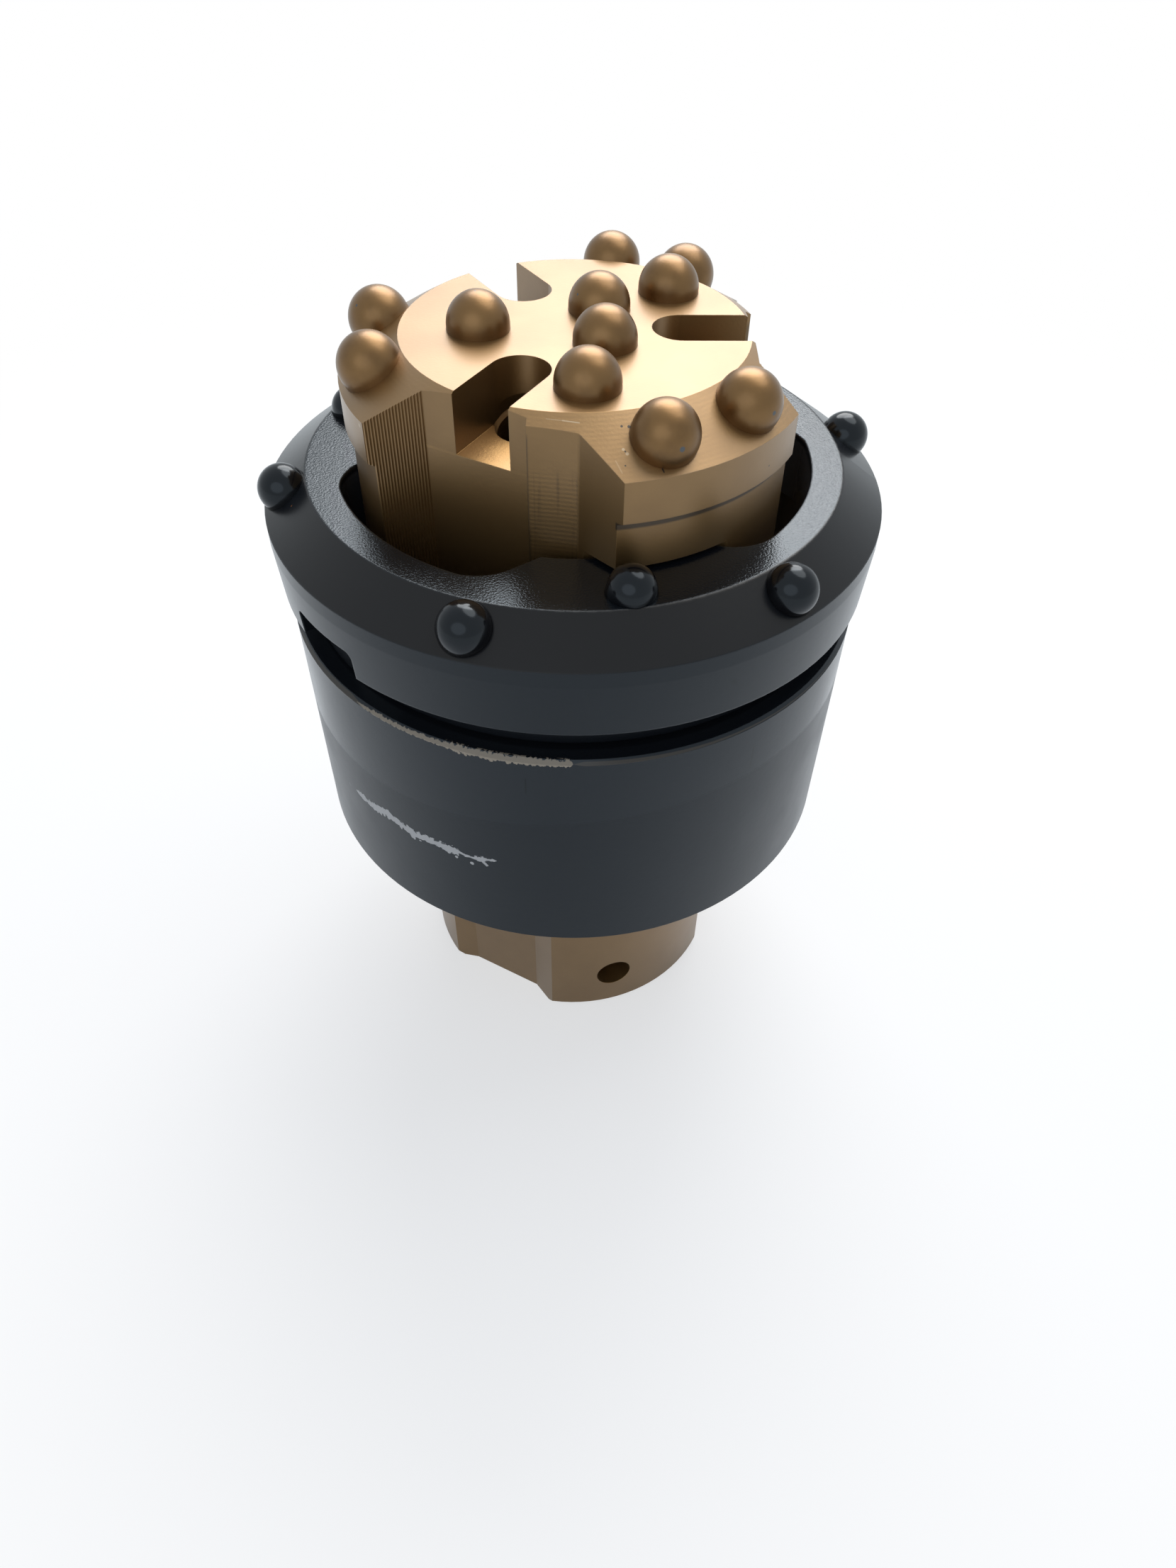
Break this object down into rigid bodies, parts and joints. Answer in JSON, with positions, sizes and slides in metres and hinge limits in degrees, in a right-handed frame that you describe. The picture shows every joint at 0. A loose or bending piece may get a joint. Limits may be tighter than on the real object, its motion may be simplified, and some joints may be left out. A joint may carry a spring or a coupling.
{
  "type": "casing ring bit set",
  "caption": "Concentric casing drilling head: winged pilot bit locked by lugs in a ring bit that turns on a casing shoe, all set with round hard-metal buttons.",
  "frame": {"origin": "centre of the pilot bit's rear face, on which the set stands", "axes": "+Z along the drilling axis towards the cutting face; azimuths count from +X, and the side seen from the front is -Y"},
  "size_m": [0.154, 0.154, 0.2165],
  "materials": {
    "gold_paint": "satin gold-bronze metallic paint",
    "ring_black_paint": "glossy blue-black paint",
    "shoe_black_paint": "glossy blue-black paint, scratched and worn at its upper edge",
    "bare_steel": "turned bare steel"
  },
  "bodies": {
    "pilot": {"pilot_bit": "gold_paint", "pilot_face_button_1": "gold_paint", "pilot_face_button_2": "gold_paint", "pilot_face_button_3": "gold_paint", "pilot_face_button_4": "gold_paint", "pilot_face_button_5": "gold_paint", "pilot_gauge_button_1": "gold_paint", "pilot_gauge_button_2": "gold_paint", "pilot_gauge_button_3": "gold_paint", "pilot_gauge_button_4": "gold_paint", "pilot_gauge_button_5": "gold_paint", "pilot_gauge_button_6": "gold_paint"},
    "ring": {"ring_bit": "ring_black_paint", "ring_gauge_button_1": "ring_black_paint", "ring_gauge_button_2": "ring_black_paint", "ring_gauge_button_3": "ring_black_paint", "ring_gauge_button_4": "ring_black_paint", "ring_gauge_button_5": "ring_black_paint", "ring_gauge_button_6": "ring_black_paint", "ring_lug_button_1": "ring_black_paint", "ring_lug_button_2": "ring_black_paint", "ring_lug_button_3": "ring_black_paint"},
    "shoe": {"casing_shoe": "shoe_black_paint", "locking_ring_left": "bare_steel", "locking_ring_right": "bare_steel"}
  },
  "joints": [
    {"name": "ring_unlock", "type": "hinge", "parent": "pilot", "child": "ring", "pos_m": [0, 0, 0.16], "axis": [0, 0, -1], "range_deg": [0, 39]},
    {"name": "shoe_turn", "type": "hinge", "parent": "ring", "child": "shoe", "pos_m": [0, 0, 0.13], "axis": [0, 0, 1], "continuous": true}
  ]
}
